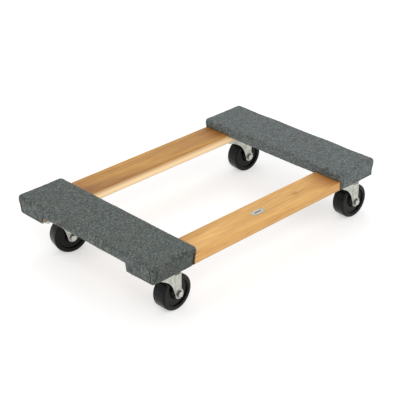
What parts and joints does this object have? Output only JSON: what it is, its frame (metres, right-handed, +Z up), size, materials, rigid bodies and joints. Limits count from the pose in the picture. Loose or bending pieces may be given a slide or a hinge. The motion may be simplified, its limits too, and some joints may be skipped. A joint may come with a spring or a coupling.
{
  "type": "furniture dolly",
  "caption": "Low rectangular furniture dolly: wooden side rails under carpeted end boards, rolling on swivel casters with solid rubber wheels.",
  "frame": {"origin": "on the floor, half-way along and across the dolly as it stands with its casters trailing towards +X", "axes": "+X along the rails towards the front end, +Y to the left, +Z up"},
  "size_m": [0.7862, 0.481, 0.17],
  "materials": {
    "rail_wood": "planed hardwood with a clear satin finish",
    "board_wood": "planed hardwood, unfinished",
    "carpet": "needle-punched heathered grey carpet",
    "staple_wire": "galvanised flat wire",
    "label_film": "blank oval film label",
    "zinc_fastener": "bright zinc-plated steel",
    "zinc_plate": "pressed zinc-plated steel",
    "zinc_fork": "pressed satin zinc-plated steel",
    "bearing_steel": "bare ground steel",
    "wheel_rubber": "moulded solid rubber, low gloss"
  },
  "bodies": {
    "deck": {"rail_right": "rail_wood", "rail_left": "rail_wood", "board_rear": "board_wood", "carpet_rear": "carpet", "staples_rear": "staple_wire", "board_front": "board_wood", "carpet_front": "carpet", "staples_front": "staple_wire", "rail_label": "label_film", "caster_bolts": "zinc_fastener", "caster_nuts": "zinc_fastener", "rear_right_plate": "zinc_plate", "rear_right_kingpin": "zinc_fastener", "rear_right_lower_race": "zinc_plate", "front_right_plate": "zinc_plate", "front_right_kingpin": "zinc_fastener", "front_right_lower_race": "zinc_plate", "front_left_plate": "zinc_plate", "front_left_kingpin": "zinc_fastener", "front_left_lower_race": "zinc_plate", "rear_left_plate": "zinc_plate", "rear_left_kingpin": "zinc_fastener", "rear_left_lower_race": "zinc_plate"},
    "rear_right_yoke": {"rear_right_fork": "zinc_fork", "rear_right_upper_balls": "bearing_steel", "rear_right_lower_balls": "bearing_steel", "rear_right_axle_bolt": "zinc_fastener", "rear_right_axle_nut": "zinc_fastener", "rear_right_axle_sleeve": "bearing_steel"},
    "rear_right_roller": {"rear_right_wheel": "wheel_rubber", "rear_right_wheel_bush": "bearing_steel"},
    "front_right_yoke": {"front_right_fork": "zinc_fork", "front_right_upper_balls": "bearing_steel", "front_right_lower_balls": "bearing_steel", "front_right_axle_bolt": "zinc_fastener", "front_right_axle_nut": "zinc_fastener", "front_right_axle_sleeve": "bearing_steel"},
    "front_right_roller": {"front_right_wheel": "wheel_rubber", "front_right_wheel_bush": "bearing_steel"},
    "front_left_yoke": {"front_left_fork": "zinc_fork", "front_left_upper_balls": "bearing_steel", "front_left_lower_balls": "bearing_steel", "front_left_axle_bolt": "zinc_fastener", "front_left_axle_nut": "zinc_fastener", "front_left_axle_sleeve": "bearing_steel"},
    "front_left_roller": {"front_left_wheel": "wheel_rubber", "front_left_wheel_bush": "bearing_steel"},
    "rear_left_yoke": {"rear_left_fork": "zinc_fork", "rear_left_upper_balls": "bearing_steel", "rear_left_lower_balls": "bearing_steel", "rear_left_axle_bolt": "zinc_fastener", "rear_left_axle_nut": "zinc_fastener", "rear_left_axle_sleeve": "bearing_steel"},
    "rear_left_roller": {"rear_left_wheel": "wheel_rubber", "rear_left_wheel_bush": "bearing_steel"}
  },
  "joints": [
    {"name": "rear_right_swivel", "type": "hinge", "parent": "deck", "child": "rear_right_yoke", "pos_m": [-0.3252, -0.1905, 0.11], "axis": [0, 0, 1], "continuous": true},
    {"name": "rear_right_roll", "type": "hinge", "parent": "rear_right_yoke", "child": "rear_right_roller", "pos_m": [-0.28952, -0.18932, 0.046], "axis": [-0.0332, 0.9995, 0], "continuous": true},
    {"name": "front_right_swivel", "type": "hinge", "parent": "deck", "child": "front_right_yoke", "pos_m": [0.3108, -0.1905, 0.11], "axis": [0, 0, 1], "continuous": true},
    {"name": "front_right_roll", "type": "hinge", "parent": "front_right_yoke", "child": "front_right_roller", "pos_m": [0.34647, -0.19199, 0.046], "axis": [0.0419, 0.9991, 0], "continuous": true},
    {"name": "front_left_swivel", "type": "hinge", "parent": "deck", "child": "front_left_yoke", "pos_m": [0.3108, 0.1905, 0.11], "axis": [0, 0, 1], "continuous": true},
    {"name": "front_left_roll", "type": "hinge", "parent": "front_left_yoke", "child": "front_left_roller", "pos_m": [0.3464, 0.18782, 0.046], "axis": [0.075, 0.9972, 0], "continuous": true},
    {"name": "rear_left_swivel", "type": "hinge", "parent": "deck", "child": "rear_left_yoke", "pos_m": [-0.3252, 0.1905, 0.11], "axis": [0, 0, 1], "continuous": true},
    {"name": "rear_left_roll", "type": "hinge", "parent": "rear_left_yoke", "child": "rear_left_roller", "pos_m": [-0.29062, 0.18162, 0.046], "axis": [0.2487, 0.9686, 0], "continuous": true}
  ]
}
